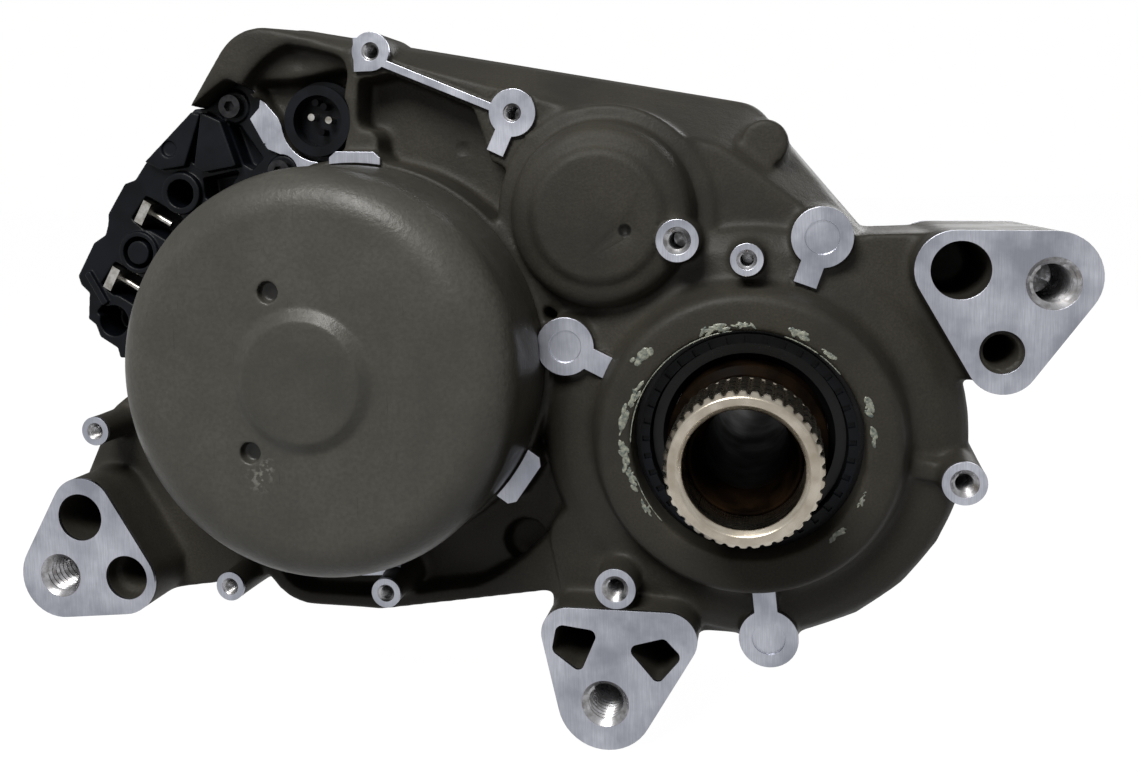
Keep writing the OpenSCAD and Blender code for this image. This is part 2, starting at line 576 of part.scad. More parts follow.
module rotor_bearing_outer_rings() color([0.7, 0.7, 0.72]) {
  outer_ring(motor, 4, 11, -49, 2);
  outer_ring(motor, 4, 11, 1, 2);
}
module rotor_bearing_inner_rings() color([0.7, 0.7, 0.72]) {
  inner_ring(motor, 4, 11, -49, 2, 7);
  inner_ring(motor, 4, 11, 1, 2, 7);
}
module lay_bearing_outer_rings() color([0.7, 0.7, 0.72]) {
  outer_ring(lay, 4, 11, -lay_front, 2);
  outer_ring(lay, 4, 11, lay_rear - bearing_t, 2);
}
module lay_bearing_inner_rings() color([0.7, 0.7, 0.72]) {
  inner_ring(lay, 4, 11, -lay_front, 2, 7);
  inner_ring(lay, 4, 11, lay_rear - bearing_t, 2, 7);
}
module output_bearing_outer_ring() color([0.7, 0.7, 0.72])
  outer_ring(crank, seal_land_r, output_bearing_r, -25, 1.7);
module output_bearing_inner_ring() color([0.7, 0.7, 0.72])
  inner_ring(crank, seal_land_r, output_bearing_r, -25, 1.7, 14);
module pedal_bearing_outer_ring() color([0.7, 0.7, 0.72]) outer_ring(crank, 10, 16, 26, 1.7);
module pedal_bearing_inner_ring() color([0.7, 0.7, 0.72]) inner_ring(crank, 10, 16, 26, 1.7, 11);

seal_t = seal_r - seal_land_r;
module output_shaft_seal() color([0.05, 0.05, 0.055]) turned(crank, [
  [seal_land_r + run_gap, -25.2], [seal_land_r + run_gap, -27], [seal_land_r + 0.2*seal_t, -28.2],
  [seal_land_r + 0.5*seal_t, -28.2], [seal_land_r + 0.62*seal_t, -seal_front], [seal_r, -seal_front], [seal_r, -25.2]]);
module seal_retaining_ring() color([0.07, 0.07, 0.08]) difference() {
  tube(crank, seal_r - 2.9, seal_r - 1.1, -seal_front - 1.8, -seal_front);
  for (i = [0:35]) rotate([0, i*10, 0]) translate([seal_r - 4.5, -seal_front - 2.1, -0.55]) cube([3, 1, 1.1]);
}
module rear_shaft_seal() color([0.05, 0.05, 0.055]) turned(crank, [
  [10 + run_gap, 33.4], [16, 33.4], [16, 37.6], [12.5, 37.6], [11.4, 36.4], [10 + run_gap, 36]]);
module torque_sensor_coil() color([0.5, 0.3, 0.12]) tube(crank, 13.9, 19, 10, 20);

small_tip = belt_pitch*small_pulley_teeth/(2*PI) - 0.38;
big_tip = belt_pitch*big_pulley_teeth/(2*PI) - 0.38;
module drive_belt() color([0.07, 0.07, 0.07]) slab(belt_y - belt_width/2, belt_y + belt_width/2) difference() {
  wrap([[motor[0], motor[1], small_tip + 1.9], [lay[0], lay[1], big_tip + 1.9]]);
  wrap([[motor[0], motor[1], small_tip + 0.1], [lay[0], lay[1], big_tip + 0.1]]);
}
module angle_sensor_board() color([0.05, 0.3, 0.12]) tube(motor, 9.6, 14.4, -41.9, -40.9);

module rotor_shaft() color([0.7, 0.7, 0.72]) turned(motor, [
  [0, -49.2], [4, -49.2], [4, -41.8], [5.5, -41.8], [5.5, 0.8], [4, 0.8], [4, 25], [0, 25]]);
module rotor_core() color([0.42, 0.43, 0.46]) slab(-38, -8) difference() {
  disc(motor, rotor_core_r);
  disc(motor, 5.52);
  for (i = [0:5]) disc(polar(motor, 12.5, i*60), 3);
}
module rotor_magnets() color([0.5, 0.5, 0.53]) slab(-37.5, -8.5) for (i = [0:magnet_count - 1])
  translate(motor) rotate(i*360/magnet_count) intersection() {
    difference() { circle(r = rotor_r); circle(r = rotor_core_r + 0.02); }
    polygon([[0, 0], polar([0, 0], 30, -150/magnet_count), polar([0, 0], 30, 150/magnet_count)]);
  }
module motor_pulley() color([0.6, 0.6, 0.62]) {
  slab(14, 24) difference() {
    translate(motor) polygon(notch_points(small_pulley_teeth, small_tip - 1.1, small_tip, 0.62));
    disc(motor, 4.02);
  }
  tube(motor, 4.02, 9.2, 13.2, 14.1);
  tube(motor, 4.02, 9.2, 23.9, 24.8);
}
module angle_magnet() color([0.2, 0.2, 0.22]) tube(motor, 5.52, 9, -41.4, -39.4);

module layshaft() color([0.7, 0.7, 0.72]) turned(lay, [
  [0, 0.1 - lay_front], [4, 0.1 - lay_front], [4, bearing_t + 0.2 - lay_front], [6.5, bearing_t + 0.2 - lay_front],
  [6.5, lay_rear - bearing_t - 0.2], [4, lay_rear - bearing_t - 0.2], [4, lay_rear - 0.1], [0, lay_rear - 0.1]]);
module layshaft_pulley() color([0.6, 0.6, 0.62]) {
  slab(14, 24) difference() {
    translate(lay) polygon(notch_points(big_pulley_teeth, big_tip - 1.1, big_tip, 0.62));
    disc(lay, 6.52);
    for (i = [0:5]) disc(polar(lay, 13, i*60), 4);
  }
  tube(lay, 18, big_tip + 2.2, 13.2, 14.1);
  tube(lay, 18, big_tip + 2.2, 23.9, 24.8);
}
module layshaft_pinion() color([0.6, 0.6, 0.58]) slab(-gear_width/2 - 1, gear_width/2 + 1) difference() {
  translate(lay) rotate(mesh_angle + 180 + 180/pinion_teeth) polygon(tooth_points(pinion_teeth, gear_module, 0.1));
  disc(lay, 6.52);
}

spline_r = spline_d/2;
spline_depth = 0.8;
module output_sleeve() color([0.74, 0.71, 0.65]) difference() {
  union() {
    intersection() {
      slab(-sleeve_front, -37) polygon(notch_points(spline_teeth, spline_r - spline_depth, spline_r, 0.7));
      turned(crank, [
        [0, -37], [0, -sleeve_front], [spline_r - 1.1, -sleeve_front], [spline_r + 0.1, 1.3 - sleeve_front],
        [spline_r + 0.1, -39.5], [spline_r - 1, -38], [spline_r - 1, -37]]);
    }
    turned(crank, [
      [0, 9], [0, -38], [13.4, -38], [13.4, -36.5], [13, -36.2], [13, -34.5], [seal_land_r, -33.5], [seal_land_r, -18],
      [18, -17.9], [18, 6], [17.2, 6], [17.2, 7.3], [18, 7.3], [18, 9]]);
  }
  rod(crank, shaft_r + run_gap, -60, -15);
  cone(crank, 11.6, shaft_r + run_gap, -sleeve_front - 0.1, -sleeve_front + 1.1);
  rod(crank, 14.45, -16, 10);
}
module output_gear() color([0.6, 0.6, 0.58]) slab(-gear_width/2, gear_width/2) difference() {
  rotate(mesh_angle) polygon(tooth_points(gear_teeth, gear_module, 0.1));
  disc(crank, 18.01);
  for (i = [0:7]) disc(polar(crank, 26.5, i*45), 4.5);
}
module sleeve_snap_ring() color([0.35, 0.35, 0.37]) slab(6.05, 7.2) difference() {
  disc(crank, 19.4);
  disc(crank, 17.22);
  translate([0, 19]) square([4, 6], center = true);
}

bore_r = crank_bore_d/2;
module pedal_shaft() color([0.5, 0.48, 0.44]) turned(crank, [
  [bore_r, -36], [9.5, -46], [shaft_r - 0.4, -46], [shaft_r, -45.5], [shaft_r, 24],
  [10, 24], [10, 47.5], [9.5, 48], [bore_r, 48]]);
module clutch_rollers() color([0.7, 0.7, 0.72]) {
  for (i = [0:11]) rod(polar(crank, 12.4, i*30), 1.99, -13.5, -2.5);
  tube(crank, 11.4, 13.4, -14.6, -13.4);
  tube(crank, 11.4, 13.4, -2.6, -1.4);
}
module torque_sensor_sleeve() color([0.62, 0.6, 0.55]) tube(crank, shaft_r + 0.01, 13.6, 9.6, 22);

main_housing();
rear_housing();
housing_gasket();
motor_cap();
cap_seal_ring();
cover_screws();
dowel_pins();
motor_bolts();
stator_core();
stator_coils();
phase_busbars();
controller_board();
power_transistors();
capacitors();
thermal_pad();
battery_connector();
connector_gasket();
connector_screws();
terminal_blades();
terminal_pins();
socket_shell();
socket_insert();
socket_pins();
socket_seal();
rotor_bearing_outer_rings();
lay_bearing_outer_rings();
output_bearing_outer_ring();
pedal_bearing_outer_ring();
output_shaft_seal();
seal_retaining_ring();
rear_shaft_seal();
torque_sensor_coil();
drive_belt();
angle_sensor_board();
rotor_shaft();
rotor_core();
rotor_magnets();
motor_pulley();
rotor_bearing_inner_rings();
angle_magnet();
layshaft();
layshaft_pulley();
layshaft_pinion();
lay_bearing_inner_rings();
output_sleeve();
output_gear();
output_bearing_inner_ring();
sleeve_snap_ring();
pedal_shaft();
clutch_rollers();
torque_sensor_sleeve();
pedal_bearing_inner_ring();
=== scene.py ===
"""Looks of a bicycle drive unit over its CAD frame. Sizes are in mm, and MM turns them into metres."""
import json
import math
import random

import bmesh
import bpy
import numpy as np
from mathutils import Matrix, Vector
from mathutils.bvhtree import BVHTree


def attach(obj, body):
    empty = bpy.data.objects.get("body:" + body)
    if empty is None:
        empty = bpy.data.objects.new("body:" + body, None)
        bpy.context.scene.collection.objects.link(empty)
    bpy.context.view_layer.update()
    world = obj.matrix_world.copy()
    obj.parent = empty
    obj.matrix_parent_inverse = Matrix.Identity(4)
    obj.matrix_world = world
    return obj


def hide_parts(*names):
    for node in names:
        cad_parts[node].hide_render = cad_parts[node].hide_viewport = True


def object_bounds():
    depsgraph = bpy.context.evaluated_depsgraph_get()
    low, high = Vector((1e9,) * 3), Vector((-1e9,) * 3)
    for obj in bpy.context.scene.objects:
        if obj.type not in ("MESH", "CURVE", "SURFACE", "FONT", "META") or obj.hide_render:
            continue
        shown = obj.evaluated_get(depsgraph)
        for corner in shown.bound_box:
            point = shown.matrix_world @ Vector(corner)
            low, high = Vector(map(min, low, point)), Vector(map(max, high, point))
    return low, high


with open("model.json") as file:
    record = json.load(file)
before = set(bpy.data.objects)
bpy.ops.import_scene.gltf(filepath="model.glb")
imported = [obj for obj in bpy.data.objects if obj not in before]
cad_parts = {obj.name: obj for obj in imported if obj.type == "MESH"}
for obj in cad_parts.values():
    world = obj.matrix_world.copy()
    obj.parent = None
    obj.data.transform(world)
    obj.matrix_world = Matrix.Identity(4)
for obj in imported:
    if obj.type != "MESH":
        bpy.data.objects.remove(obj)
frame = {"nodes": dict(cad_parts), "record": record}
cad_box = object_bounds()
scene = bpy.context.scene
scene.view_settings.view_transform = "Standard"

MM = 0.001
IMAGE_WIDTH, IMAGE_HEIGHT = 1138, 772
NODES = frame["nodes"]
MOUNTS = {m["name"]: m for m in frame["record"]["mounts"]}


# Camera at the photograph's place

FOCAL_PIXELS = 1140
AXIS_PIXEL = (569, 300)
CAMERA_PLACE = (7.842, -245.0, 49.189)
CAMERA_RIGHT = Vector((0.98172, 0.18928, -0.01989))
CAMERA_UP = Vector((0.0, 0.10449, 0.99453))


def add_camera():
    """Camera whose lens and shift come from the photograph's perspective."""
    data = bpy.data.cameras.new("camera")
    data.sensor_width = 36
    data.lens = 36 * FOCAL_PIXELS / IMAGE_WIDTH
    data.shift_x = (IMAGE_WIDTH / 2 - AXIS_PIXEL[0]) / IMAGE_WIDTH
    data.shift_y = (AXIS_PIXEL[1] - IMAGE_HEIGHT / 2) / IMAGE_WIDTH
    data.clip_start = 0.01
    data.clip_end = 50
    camera = bpy.data.objects.new("camera", data)
    right = CAMERA_RIGHT.normalized()
    up = (CAMERA_UP - right * CAMERA_UP.dot(right)).normalized()
    back = right.cross(up)
    turn = Matrix((right, up, back)).transposed().to_4x4()
    camera.matrix_world = Matrix.Translation(Vector(CAMERA_PLACE) * MM) @ turn
    scene.collection.objects.link(camera)
    scene.camera = camera


# Small tools for node materials

def srgb(*levels):
    """Linear colour of 0 to 255 screen levels."""
    part = [v / 255 for v in levels]
    return [v / 12.92 if v <= 0.04045 else ((v + 0.055) / 1.055) ** 2.4 for v in part] + [1.0]


class Look:
    """A node material under construction, with short calls for the nodes that the looks share."""

    def __init__(self, name, colour, roughness, metallic=0.0, specular=0.5):
        self.material = bpy.data.materials.new(name)
        self.material.use_nodes = True
        self.tree = self.material.node_tree
        self.shader = self.tree.nodes["Principled BSDF"]
        self.shader.inputs["Base Color"].default_value = colour
        self.shader.inputs["Roughness"].default_value = roughness
        self.shader.inputs["Metallic"].default_value = metallic
        self.shader.inputs["Specular IOR Level"].default_value = specular
        self.place = self.node("ShaderNodeTexCoord").outputs["Object"]
        self.bumps = None

    def node(self, kind, **settings):
        made = self.tree.nodes.new(kind)
        for key, value in settings.items():
            setattr(made, key, value)
        return made

    def link(self, source, target):
        self.tree.links.new(source, target)

    def scaled(self, sizes, turn=(0, 0, 0)):
        """Object coordinates divided by a size in mm along each axis."""
        mapping = self.node("ShaderNodeMapping")
        mapping.inputs["Rotation"].default_value = turn
        mapping.inputs["Scale"].default_value = [1 / (s * MM) for s in sizes]
        self.link(self.place, mapping.inputs["Vector"])
        return mapping.outputs["Vector"]

    def noise(self, size, detail=3.0, rough=0.55, stretch=(1, 1, 1), turn=(0, 0, 0)):
        made = self.node("ShaderNodeTexNoise")
        made.inputs["Scale"].default_value = 1.0
        made.inputs["Detail"].default_value = detail
        made.inputs["Roughness"].default_value = rough
        self.link(self.scaled([size * s for s in stretch], turn), made.inputs["Vector"])
        return made.outputs["Fac"]

    def ramp(self, value, low, high, from_min=0.35, from_max=0.65):
        made = self.node("ShaderNodeMapRange")
        made.inputs["From Min"].default_value = from_min
        made.inputs["From Max"].default_value = from_max
        made.inputs["To Min"].default_value = low
        made.inputs["To Max"].default_value = high
        self.link(value, made.inputs["Value"])
        return made.outputs["Result"]

    def mix(self, factor, first, second):
        made = self.node("ShaderNodeMix", data_type="RGBA")
        self.link(factor, made.inputs["Factor"])
        for socket, value in (("A", first), ("B", second)):
            target = [s for s in made.inputs if s.name == socket and s.type == "RGBA"][0]
            if isinstance(value, bpy.types.NodeSocket):
                self.link(value, target)
            else:
                target.default_value = value
        return [s for s in made.outputs if s.type == "RGBA"][0]

    def product(self, first, second):
        made = self.node("ShaderNodeMath", operation="MULTIPLY")
        self.link(first, made.inputs[0])
        self.link(second, made.inputs[1])
        return made.outputs["Value"]

    def distance_to(self, x, z):
        """Distance from a line along Y through a place in mm, in metres."""
        flat = self.node("ShaderNodeVectorMath", operation="MULTIPLY")
        flat.inputs[1].default_value = (1, 0, 1)
        self.link(self.place, flat.inputs[0])
        far = self.node("ShaderNodeVectorMath", operation="DISTANCE")
        far.inputs[1].default_value = (x * MM, 0, z * MM)
        self.link(flat.outputs["Vector"], far.inputs[0])
        return far.outputs["Value"]

    def in_front_of(self, level):
        """1 before a level of Y in mm, 0 behind it."""
        split = self.node("ShaderNodeSeparateXYZ")
        self.link(self.place, split.inputs[0])
        return self.ramp(split.outputs["Y"], 1, 0, (level - 0.2) * MM, (level + 0.2) * MM)

    def colour(self, socket):
        self.link(socket, self.shader.inputs["Base Color"])

    def rough(self, socket):
        self.link(socket, self.shader.inputs["Roughness"])

    def bump(self, height, depth, strength=1.0):
        made = self.node("ShaderNodeBump")
        made.inputs["Distance"].default_value = depth * MM
        made.inputs["Strength"].default_value = strength
        self.link(height, made.inputs["Height"])
        if self.bumps:
            self.link(self.bumps, made.inputs["Normal"])
        self.bumps = made.outputs["Normal"]
        self.link(self.bumps, self.shader.inputs["Normal"])


DOME_MARK = (-22.4, 40.1)


def cast_paint():
    look = Look("cast_paint", srgb(62, 60, 54), 0.5, specular=0.2)
    grain = look.noise(0.45, 4)
    cloud = look.noise(16, 4)
    tone = look.mix(look.ramp(cloud, 0, 1), srgb(56, 54, 49), srgb(70, 67, 60))
    tone = look.mix(look.ramp(grain, 0, 0.5), tone, srgb(46, 44, 40))
    # Painted shade: a dark dot is painted on the front faces at the dome mark, in place of the shade of a
    # hole there.
    spot = look.ramp(look.distance_to(*DOME_MARK), 1, 0, 1.1 * MM, 1.4 * MM)
    look.colour(look.mix(look.product(spot, look.in_front_of(-24)), tone, srgb(22, 21, 19)))
    look.rough(look.ramp(cloud, 0.42, 0.56))
    look.bump(grain, 0.06)
    look.bump(look.noise(3.5, 2), 0.1)
    return look.material


SCUFFS = ((-88.6, -4.2, 3.2), (-87.0, -1.8, 1.8))
SPANNER_HOLES = ((-85.5, 30.4), (-90.4, 0.5))


def cap_paint():
    look = Look("cap_paint", srgb(80, 79, 73), 0.4, specular=0.4)
    grain = look.noise(0.8, 4)
    cloud = look.noise(26, 6, 0.65)
    tone = look.mix(look.ramp(cloud, 0, 1), srgb(70, 69, 63), srgb(90, 88, 81))
    tone = look.mix(look.ramp(grain, 0, 0.45), tone, srgb(62, 61, 56))
    for angle in (20, 75, 140):
        lines = look.noise(0.5, 2, stretch=(1, 1, 18), turn=(0, math.radians(angle), 0))
        tone = look.mix(look.ramp(lines, 0, 0.5, 0.7, 0.76), tone, srgb(50, 50, 46))
    flakes = look.ramp(look.noise(1.1, 4), 0, 1, 0.5, 0.6)
    for x, z, radius in SCUFFS:
        spot = look.ramp(look.distance_to(x, z), 1, 0, 0, radius * MM)
        tone = look.mix(look.product(spot, flakes), tone, srgb(150, 149, 142))
    # Painted shade: the spanner holes are painted dark inside, in place of the shade of deep holes.
    for x, z in SPANNER_HOLES:
        tone = look.mix(look.ramp(look.distance_to(x, z), 1, 0, 1.5 * MM, 1.95 * MM), tone, srgb(22, 21, 19))
    look.colour(tone)
    look.rough(look.ramp(look.noise(9, 5), 0.32, 0.48))
    look.bump(grain, 0.08)
    return look.material


def machined():
    look = Look("machined", srgb(206, 208, 216), 0.34, 1.0)
    lines = look.noise(0.14, 2, stretch=(1, 1, 25), turn=(0, math.radians(35), 0))
    cloud = look.noise(11, 4)
    tone = look.mix(look.ramp(cloud, 0, 1), srgb(154, 157, 168), srgb(206, 208, 218))
    look.colour(look.mix(look.ramp(lines, 0, 0.35), tone, srgb(140, 142, 152)))
    look.rough(look.ramp(cloud, 0.3, 0.42))
    look.bump(lines, 0.01)
    return look.material


def bore_thread():
    look = Look("bore_thread", srgb(176, 176, 180), 0.3, 1.0)
    marks = look.noise(1.2, 3)
    look.colour(look.mix(look.ramp(marks, 0, 1), srgb(186, 186, 190), srgb(140, 138, 138)))
    look.rough(look.ramp(marks, 0.24, 0.4))
    return look.material


def grease():
    look = Look("grease", srgb(168, 172, 160), 0.22, specular=0.6)
    marks = look.noise(0.8, 4)
    look.colour(look.mix(look.ramp(marks, 0, 1), srgb(182, 184, 168), srgb(88, 100, 96)))
    look.bump(marks, 0.1)
    return look.material


def metal(name, colour, darker, roughness, streak=(1, 1, 1), size=1.5):
    look = Look(name, colour, roughness, 1.0)
    marks = look.noise(size, 3, stretch=streak)
    look.colour(look.mix(look.ramp(marks, 0, 1), colour, darker))
    look.rough(look.ramp(marks, roughness * 0.8, roughness * 1.3))
    look.bump(marks, 0.01)
    return look.material


def plastic(name, colour, lighter, roughness, grain=0.25, depth=0.02, specular=0.25):
    look = Look(name, colour, roughness, specular=specular)
    fine = look.noise(grain, 3)
    cloud = look.noise(7, 3)
    look.colour(look.mix(look.ramp(cloud, 0, 1), colour, lighter))
    look.rough(look.ramp(cloud, roughness * 0.85, roughness * 1.2))
    look.bump(fine, depth)
    return look.material


# Socket pins painted near black as painted shade, where they lie in shade: x, z
PAINTED_SHADE_PINS = ((-87.6, 65.9), (-88.3, 60.7), (-89.4, 66.8))


def contact():
    look = Look("contact_metal", srgb(190, 188, 184), 0.32, 1.0)
    marks = look.noise(1.5, 3, stretch=(1, 8, 1))
    tone = look.mix(look.ramp(marks, 0, 1), srgb(198, 196, 192), srgb(142, 138, 130))
    # Painted shade: the pins that lie in shade are painted near black.
    for x, z in PAINTED_SHADE_PINS:
        tone = look.mix(look.ramp(look.distance_to(x, z), 1, 0, 0.9 * MM, 1.0 * MM), tone, srgb(26, 26, 28))
    look.colour(tone)
    return look.material


LOOKS = {
    "cast_metal": cast_paint(),
    "cap_metal": cap_paint(),
    "machined": machined(),
    "bore_thread": bore_thread(),
    "grease": grease(),
    "black_rubber": plastic("rubber", srgb(9, 9, 10), srgb(17, 18, 18), 0.3, 0.4, 0.02),
    "black_plastic": plastic("moulded_plastic", srgb(9, 11, 15), srgb(17, 20, 26), 0.38, specular=0.15),
    "screw_steel": metal("screw_steel", srgb(66, 66, 68), srgb(44, 44, 46), 0.32),
    # The dark_steel look is painted shade: steel painted near black as a non-metal in place of the shade deep
    # in the crank bore, and its lighter brown cloud is a painted reflection.
    "dark_steel": plastic("steel_painted_shade", srgb(6, 4, 3), srgb(32, 22, 13), 0.45, 1.5, 0.02, 0.02),
    "bearing_steel": metal("bearing_steel", srgb(190, 190, 194), srgb(150, 150, 156), 0.22, (1, 12, 1)),
    "gear_steel": metal("gear_steel", srgb(160, 160, 158), srgb(120, 120, 118), 0.3, (1, 10, 1)),
    "nickel_steel": metal("nickel_steel", srgb(200, 192, 178), srgb(168, 158, 142), 0.27, (6, 1, 6), 0.8),
    "lamination": metal("lamination", srgb(130, 132, 136), srgb(90, 92, 96), 0.45, (8, 1, 8), 0.5),
    "copper": metal("copper", srgb(196, 120, 66), srgb(150, 80, 40), 0.35, (1, 1, 10), 0.6),
    "pulley_metal": metal("pulley_metal", srgb(190, 192, 196), srgb(160, 162, 166), 0.3, (6, 1, 6)),
    "circuit_board": plastic("circuit_board", srgb(22, 78, 38), srgb(30, 96, 48), 0.35, 1.2, 0.03),
    "grey_pad": plastic("grey_pad", srgb(150, 150, 152), srgb(168, 168, 170), 0.7, 0.6, 0.04),
    "can_metal": metal("can_metal", srgb(70, 70, 80), srgb(48, 48, 56), 0.3),
    "contact_metal": contact(),
}


def dress_nodes():
    """Gives every CAD node the look of its material slot."""
    for part in frame["record"]["subparts"]:
        node = NODES[part["node"]]
        node.data.materials.clear()
        node.data.materials.append(LOOKS[part["material_slot"]])


# Pieces made from the CAD solids

def add_piece(name, mesh, body):
    piece = bpy.data.objects.new(name, mesh)
    scene.collection.objects.link(piece)
    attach(piece, body)
    return piece


def settle(piece):
    """Applies the modifiers of a piece to its mesh."""
    graph = bpy.context.evaluated_depsgraph_get()
    done = bpy.data.meshes.new_from_object(piece.evaluated_get(graph), depsgraph=graph)
    piece.modifiers.clear()
    piece.data = done


def joined_mesh(node):
    """Copy of a node's mesh with its split edges joined."""
    shape = bmesh.new()
    shape.from_mesh(NODES[node].data)
    bmesh.ops.remove_doubles(shape, verts=shape.verts, dist=0.0005 * MM)
    mesh = bpy.data.meshes.new(node + "_joined")
    shape.to_mesh(mesh)
    shape.free()
    return mesh


def voxel_copy(node, name, slot, voxel, body="housing"):
    """Even mesh of a node's surface, in place of the node."""
    piece = add_piece(name, joined_mesh(node), body)
    remesh = piece.modifiers.new("voxels", "REMESH")
    remesh.mode = "VOXEL"
    remesh.voxel_size = voxel * MM
    settle(piece)
    piece.data.materials.clear()
    piece.data.materials.append(LOOKS[slot])
    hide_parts(node)
    return piece


def points_of(piece):
    places = np.empty(len(piece.data.vertices) * 3)
    piece.data.vertices.foreach_get("co", places)
    return places.reshape(-1, 3) / MM


def set_points(piece, places):
    piece.data.vertices.foreach_set("co", (places * MM).ravel())
    piece.data.update()


def relax(piece, passes, share):
    """Rounds edges and corners, as a mould does: each point moves toward its neighbours by its own share."""
    places = points_of(piece)
    ends = np.empty(len(piece.data.edges) * 2, int)
    piece.data.edges.foreach_get("vertices", ends)
    first, second = ends.reshape(-1, 2).T
    total = len(places)
    count = np.bincount(ends, minlength=total)[:, None]
    pull = 0.5 * np.broadcast_to(np.asarray(share, float).reshape(-1, 1), (total, 1))
    for _ in range(passes):
        around = np.stack([np.bincount(first, places[second, k], total)
                           + np.bincount(second, places[first, k], total) for k in range(3)], 1)
        places += (around / count - places) * pull
    set_points(piece, places)


def thin_out(piece, keep):
    """Keeps a share of the faces and shades them smooth."""
    thin = piece.modifiers.new("thin", "DECIMATE")
    thin.ratio = keep
    settle(piece)
    piece.data.polygons.foreach_set("use_smooth", [True] * len(piece.data.polygons))


def edge_shares(piece, skin, least, reach):
    """1 far from the machined faces, falling to least beside them, so that their edges stay crisp."""
    tree = BVHTree.FromPolygons([v.co for v in skin.data.vertices], [p.vertices for p in skin.data.polygons])
    shares = np.ones(len(piece.data.vertices))
    for k, vert in enumerate(piece.data.vertices):
        found = tree.find_nearest(vert.co, reach * MM)
        if found[3] is not None:
            shares[k] = max(least, found[3] / (reach * MM))
    return shares


# Small marks and the dome keep their edges: x, z, radius, share of the rounding
CRISP = (
    (*DOME_MARK, 2.4, 0.0), (-91.8, 75.2, 3.2, 0.15), (-58.5, 56.5, 2.6, 0.1), (-27.8, 42.8, 18.5, 0.35),
)
# Corners of the box round the hood over the socket
HOOD = ((-104.0, -25.5, 67.5), (-78.5, -13.5, 79.0))


def keep_crisp(piece, shares):
    """Shares of the rounding with the small marks left crisp."""
    places = points_of(piece)
    for x, z, radius, share in CRISP:
        close = (np.hypot(places[:, 0] - x, places[:, 2] - z) < radius) & (places[:, 1] < -14)
        shares[close] = np.minimum(shares[close], share)
    return shares


def sink(piece, chosen, depth):
    """Moves chosen points into the casting, behind the machined faces."""
    places = points_of(piece)
    places[chosen, 1] -= depth * np.sign(places[chosen, 1])
    set_points(piece, places)


def soften(piece, corners, passes):
    """Turns the steps inside a box into slopes."""
    places = points_of(piece)
    inside = np.all((places > corners[0]) & (places < corners[1]), axis=1)
    relax(piece, passes, inside.astype(float))


def flat_faces(node, wanted):
    """Mesh of a node's faces whose centre and normal pass the test wanted(x, y, z, nx, ny, nz), in mm."""
    shape = bmesh.new()
    shape.from_mesh(NODES[node].data)
    bmesh.ops.remove_doubles(shape, verts=shape.verts, dist=0.0005 * MM)
    shape.normal_update()
    others = [f for f in shape.faces if not wanted(*(f.calc_center_median() / MM), *f.normal)]
    bmesh.ops.delete(shape, geom=others, context="FACES")
    bmesh.ops.dissolve_limit(shape, angle_limit=math.radians(1), verts=shape.verts, edges=shape.edges)
    return shape


def machined_skin(name, node, wanted, depth, proud, bevel, body="housing"):
    """Bright cut faces of a casting: a thin plate that follows the CAD faces, with a broken edge."""
    shape = flat_faces(node, wanted)
    mesh = bpy.data.meshes.new(name)
    for vert in shape.verts:
        vert.co += vert.normal * proud * MM
    shape.to_mesh(mesh)
    shape.free()
    piece = add_piece(name, mesh, body)
    piece.data.materials.append(LOOKS["machined"])
    thick = piece.modifiers.new("depth", "SOLIDIFY")
    thick.thickness = depth * MM
    thick.offset = -1
    edge = piece.modifiers.new("edge", "BEVEL")
    edge.width = bevel * MM
    edge.segments = 2
    edge.limit_method = "ANGLE"
    edge.angle_limit = math.radians(40)
    settle(piece)
    return piece


# Machined skin and the casting under it: the share of rounding beside the skin grows to 1 over the reach
SKIN_DEPTH = 0.8
SKIN_PROUD = 0.06
SKIN_BEVEL = 0.12
EDGE_SHARE = 0.15
EDGE_REACH = 3.0
COVERED_SHARE = 0.2
SINK_DEPTH = 0.4

# Levels of Y that a mill cuts, and the places of the locating pads
CUT_LEVELS = (-35.0, -33.0, -26.6, -25.0, -19.0, 11.0)
PAD_LEVELS = (-30.0, -29.5)
DIMPLE_RADIUS = 3.2
PADS = ((13.7, 38.2), (3.8, -39.1), (-35.1, 17.5))


def near(value, levels, gap=0.02):
    return any(abs(value - level) < gap for level in levels)


def is_cut(x, y, z, nx, ny, nz):
    """True on the faces that a mill leaves bright."""
    away = min(math.hypot(x - px, z - pz) for px, pz in PADS)
    if abs(ny) < 0.99:
        return abs(away - DIMPLE_RADIUS) < 0.1 and PAD_LEVELS[0] < y < PAD_LEVELS[1]
    return near(y, CUT_LEVELS) or (near(y, PAD_LEVELS) and away < 9.5)


# Level of Y at the back of the spline teeth
SPLINE_BACK = -37.4


def darken_behind(piece, level):
    """Gives the faces behind a level the near-black dark_steel look, so that they render dark."""
    piece.data.materials.append(LOOKS["dark_steel"])
    for face in piece.data.polygons:
        face.material_index = int(face.center.y / MM > level)


# Threads: each mount name's start gives the face, the chamfer, the pitch and the depth
THREADS = {
    "lug_thread_front": (-35.0, 1.25, 1.25, 20.0),
    "lug_thread_rear": (11.0, 1.25, 1.25, 20.0),
    "cover_thread_small": (-35.0, 0.6, 0.5, 10.0),
    "cover_thread": (-35.0, 0.9, 0.7, 12.0),
    "guard_thread": (-33.0, 0.5, 0.5, 10.0),
    "rim_thread": (-25.0, 0.4, 0.5, 9.0),
}
THREAD_COLUMNS = 64
# One turn of thread: share of the pitch, share of the way from the root to the crest
THREAD_FORM = ((0.0, 0), (0.15, 0), (0.5, 1), (0.65, 1))


def thread_bores():
    """Place, way in, tapping radius and sizes of every threaded mount, in mm."""
    for name, mount in MOUNTS.items():
        start = next((s for s in THREADS if name.startswith(s)), None)
        if start:
            x, _, z = [v / MM for v in mount["pos_m"]]
            yield (x, z, -mount["axis"][1], mount["dims"]["r_mm"]) + THREADS[start]


